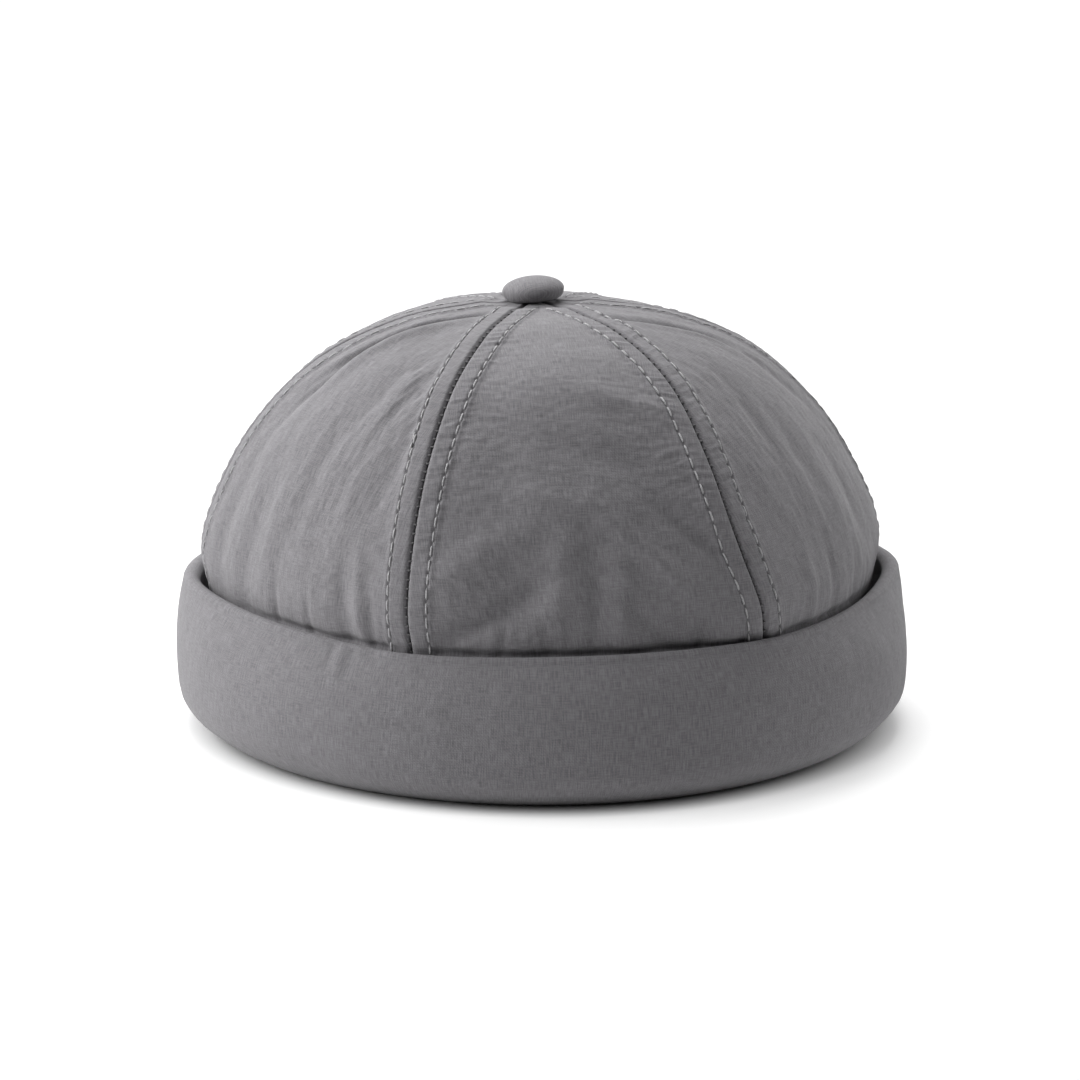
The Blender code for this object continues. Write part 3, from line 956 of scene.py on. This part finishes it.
def cuff_relief(azimuth, height_mm):
    """Unevenness of the band: soft rumples, a few creases, the groove of its seam behind."""
    aside = np.radians(azimuth) * WIDEST / MM
    relief = sum(uneven(aside / wide, height_mm / tall, seed) * high
                 for wide, tall, seed, high in CUFF_RUMPLES)
    for centre, level, half_width, half_height, deep in CUFF_CREASES:
        across = np.radians(short_way(azimuth - centre)) * WIDEST / MM
        relief -= deep * np.exp(-((across / half_width) ** 2) - ((height_mm - level) / half_height) ** 2)
    from_seam = np.radians(180 - np.abs(azimuth)) * WIDEST / MM
    return relief - BACK_SEAM_DEPTH * bell(from_seam, BACK_SEAM_WIDTH)


def make_cuff():
    azimuths = np.linspace(-180, 180, CUFF_COLUMNS + 1)
    rings = np.array([[np.broadcast_to(part, azimuths.shape) for part in ring]
                      for ring in cuff_rings(azimuths)])
    last = len(rings) - 1
    in_front = rings[:, :, CUFF_COLUMNS // 2]
    along = np.concatenate([[0], np.cumsum(np.hypot(*np.diff(in_front, axis=0).T))])
    mesh = bmesh.new()
    corners = bmesh.ops.create_grid(mesh, x_segments=CUFF_COLUMNS, y_segments=last, size=1)["verts"]
    column = np.array([round((v.co.x + 1) / 2 * CUFF_COLUMNS) for v in corners])
    row = np.array([round((v.co.y + 1) / 2 * last) for v in corners])
    reach, height = rings[row, :, column].T
    azimuth = azimuths[column]
    outside = (row > 1) & (row < 2 + FOLD_STEPS + WALL_STEPS + RIM_STEPS // 2)
    lifted = smooth_step(height, 0, CALM_FOOT) * outside
    reach = reach + cuff_relief(azimuth, height / MM) * lifted * MM
    angle = np.radians(azimuth)
    points = np.stack([reach * np.sin(angle), -reach * np.cos(angle), height], axis=-1)
    cloth_map = np.stack([angle * WIDEST, along[row]], axis=-1)
    lay_map(mesh, cloth_map.tolist())
    for vertex, point in zip(corners, points.tolist()):
        vertex.co = point
    bmesh.ops.remove_doubles(mesh, verts=mesh.verts, dist=MERGE_DISTANCE)
    return finished(mesh, "turned_up_cuff", cuff_cloth, "cuff")


cuff = make_cuff()
print(cuff.name, len(cuff.data.polygons), "faces")

# %% [markdown]
# ## The covered button
# A round of the same cloth is drawn over a small domed button and gathered behind it. Its profile
# is drawn as a few points and turned all the way round with spin. The shank and the plain head
# inside belong to it, as they do in the CAD node. It sits slightly tilted on the crown's tip.

# %% Make the button
BUTTON_RADIUS = 0.0087
BUTTON_HEIGHT = 0.0061
BUTTON_EDGE = 0.0024
WASHER_RADIUS = 0.005
WASHER_THICKNESS = 0.001
BUTTON_TILT = math.radians(4.5)
BUTTON_SIDES = 96
DOME_STEPS = 22
SPIN_MERGE = 0.005 * MM
PLEATS = 5
PLEAT_HEIGHT = 0.12
# The edge below the dome: how far in and how high, as shares of BUTTON_EDGE
BUTTON_SIDE = ((0.04, 0.75), (0.12, 0.5), (0.26, 0.25), (0.5, 0.0))


def button_outline(lift, inside):
    """Half of the button's section, from the middle of its dome to that of its inner head."""
    dome = BUTTON_HEIGHT - BUTTON_EDGE
    outline = [(0.0, lift + BUTTON_HEIGHT)]
    for step in range(1, DOME_STEPS + 1):
        angle = math.pi / 2 * step / DOME_STEPS
        outline.append((BUTTON_RADIUS * math.sin(angle), lift + BUTTON_EDGE + dome * math.cos(angle)))
    outline += [(BUTTON_RADIUS - BUTTON_EDGE * inset, lift + BUTTON_EDGE * height)
                for inset, height in BUTTON_SIDE]
    return outline + [
        (SHANK_RADIUS, lift),
        (SHANK_RADIUS, inside),
        (WASHER_RADIUS, inside),
        (WASHER_RADIUS, inside - WASHER_THICKNESS),
        (0.0, inside - WASHER_THICKNESS),
    ]


def gather_edge(mesh, lift, inside):
    """Pleats the cloth a little where it is drawn in below the button's edge."""
    for vertex in mesh.verts:
        turn = math.atan2(vertex.co.y, vertex.co.x)
        low = 1 - min(max((vertex.co.z - lift) / BUTTON_EDGE, 0), 1)
        waves = noise.noise((math.cos(turn) * PLEATS, math.sin(turn) * PLEATS, 4.2))
        out = Vector((vertex.co.x, vertex.co.y, 0))
        if vertex.co.z > inside and out.length > SHANK_RADIUS * 2:
            vertex.co += out.normalized() * (waves * PLEAT_HEIGHT * MM * low)


def make_button():
    lift = GAP + (BUTTON_RADIUS - TIP_RADIUS) * math.sin(BUTTON_TILT)
    inside = -CROWN_CLOTH - GAP - WASHER_RADIUS * math.sin(BUTTON_TILT)
    mesh = bmesh.new()
    points = [mesh.verts.new((reach, 0, height)) for reach, height in button_outline(lift, inside)]
    edges = [mesh.edges.new(pair) for pair in zip(points, points[1:])]
    bmesh.ops.spin(mesh, geom=points + edges, cent=(0, 0, 0), axis=(0, 0, 1),
                   angle=math.tau, steps=BUTTON_SIDES, use_merge=True)
    bmesh.ops.remove_doubles(mesh, verts=mesh.verts, dist=SPIN_MERGE)
    lay_map(mesh, [(vertex.co.x, vertex.co.y) for vertex in mesh.verts])
    gather_edge(mesh, lift, inside)
    tip = Vector((CROWN_TIP_SHIFT * CROWN_RADIUS, 0, CROWN_HEIGHT - BUTTON_PRESS * MM))
    mesh.transform(Matrix.Translation(tip) @ Matrix.Rotation(-BUTTON_TILT, 4, "Y"))
    return finished(mesh, "covered_button", button_cloth, "crown_button")


button = make_button()
print(button.name, len(button.data.polygons), "faces")

# %% [markdown]
# ## Topstitching
# Twelve rows of machine stitches, one on each side of every seam, hold the seam allowances flat.
# Each stitch is a short length of thread that dips into the cloth at both ends. One stitch could be
# a curve, but hundreds of them are lighter as small stretched spheres: each starts as a sphere, is
# drawn out along the row and bent down at its ends. The thread that closes a seam shows deep in its
# groove, so it is laid there in the same way; its far darker colour is painted shade, standing for
# the shadow deep in the groove.

# %% Sew the rows
THREAD_RADIUS = 0.25
STITCH_SINK = 0.42  # millimetres that a stitch's ends dip in
STITCH_JITTER = 0.12
STITCH_SEED = 100
STITCH_SIDES, STITCH_RINGS = 6, 7
BLUNTNESS = 1.25  # how soon a stitch reaches its full thickness
LAST_STITCH = RIM_DOWN + 1
BACKTACK = np.array((71.5, 74.4))  # millimetres down where a row was sewn over its own start
BACKTACK_LENGTH = 2.4
BACKTACK_ASIDE = (0.45, 0.5)  # millimetres from the row to a stitch's head and tail
SEAM_PITCH = 2.5
SEAM_THREAD = 0.28
SEAM_THREAD_ASIDE = 0.45  # millimetres from the seam to each end of its thread
SEAM_THREAD_DEPTH = 0.6
ROW_SHARE_AT_TIP = 0.84


def row_points(number, side, down_mm, row_mm):
    """Points and outward normals of a gore at a distance from one of its seams."""
    half_mm = GorePatch(number, np.zeros_like(down_mm), down_mm).half_mm
    row = np.minimum(row_mm, ROW_SHARE_AT_TIP * half_mm)
    patch = GorePatch(number, side * (1 - row / half_mm), down_mm)
    strip, _, puckers = patch.seams()
    height = patch.relief(ALL_FOLDS) + strip + puckers
    return patch.points + patch.normals * (height * MM)[:, None], patch.normals


def lay_stitch(mesh, start, end, out, radius, sink, lift):
    """A short thread from start to end that bulges outward and dips in at both ends."""
    along = Vector(end - start)
    half = along.length / 2
    along.normalize()
    out = Vector(out)
    out = (out - along * out.dot(along)).normalized()
    turn = Matrix((along, out.cross(along), out)).transposed().to_4x4()
    ball = bmesh.ops.create_uvsphere(
        mesh, u_segments=STITCH_SIDES, v_segments=STITCH_RINGS, radius=1)["verts"]
    for vertex in ball:
        wide, tall, share = vertex.co
        flat = math.sqrt(max(1 - share * share, 1e-9))
        thick = min(1, BLUNTNESS * flat) / flat * radius
        vertex.co = (share * half, wide * thick, tall * thick - sink * share**4 + lift)
    bmesh.ops.transform(mesh, matrix=Matrix.Translation(Vector((start + end) / 2)) @ turn, verts=ball)


def lay_row(mesh, heads, tails, normals, radius=THREAD_RADIUS, sink=STITCH_SINK, lift=0.0):
    """Lays a stitch from each head to its tail, with sizes in millimetres."""
    for head, tail, normal in zip(heads, tails, normals):
        lay_stitch(mesh, head, tail, normal, radius * MM, sink * MM, lift * MM)


def make_stitching(side_name, number):
    """The rows of topstitching beside both seams of a gore."""
    random = np.random.default_rng(STITCH_SEED + number)
    mesh = bmesh.new()
    for side in (-1, 1):
        starts = np.arange(FIRST_STITCH, LAST_STITCH, STITCH_PITCH)
        starts = starts + random.uniform(-STITCH_JITTER, STITCH_JITTER, starts.shape)
        heads, normals = row_points(number, side, starts, STITCH_ROW)
        tails = row_points(number, side, starts + STITCH_LENGTH, STITCH_ROW)[0]
        lay_row(mesh, heads, tails, normals)
    if side_name == "front_left":
        at_head, at_tail = BACKTACK_ASIDE
        heads, normals = row_points(number, 1, BACKTACK, STITCH_ROW + at_head)
        tails = row_points(number, 1, BACKTACK + BACKTACK_LENGTH, STITCH_ROW + at_tail)[0]
        lay_row(mesh, heads, tails, normals)
    return finished(mesh, "topstitching_" + side_name, topstitch_thread, None)


def make_seam_threads(side_name, number):
    """The thread that closes a seam, seen as tiny bridges deep in its groove, in a dark grey that is
    painted shade.
    """
    down_mm = np.arange(FIRST_STITCH, LAST_STITCH, SEAM_PITCH)
    heads, normals = row_points(number, -1, down_mm, SEAM_THREAD_ASIDE)
    tails = row_points((number - 1) % PANELS, 1, down_mm, SEAM_THREAD_ASIDE)[0]
    mesh = bmesh.new()
    lay_row(mesh, heads, tails, normals, SEAM_THREAD, SEAM_THREAD, -SEAM_THREAD_DEPTH)
    # Its material's dark grey is painted shade of the groove
    return finished(mesh, "seam_thread_painted_shade_" + side_name, seam_thread_painted_shade, None)


stitching = [make_stitching(side, number) for number, side in enumerate(PANEL_NAMES)]
stitching += [make_seam_threads(side, number) for number, side in enumerate(PANEL_NAMES)]
print("stitch faces:", sum(len(row.data.polygons) for row in stitching))

# %% [markdown]
# ## Count the triangles
# The last cell counts the triangles of the pieces that show.

triangles = {o.name: sum(len(f.vertices) - 2 for f in o.data.polygons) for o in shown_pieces()}
print("triangles:", triangles, "in all", sum(triangles.values()))
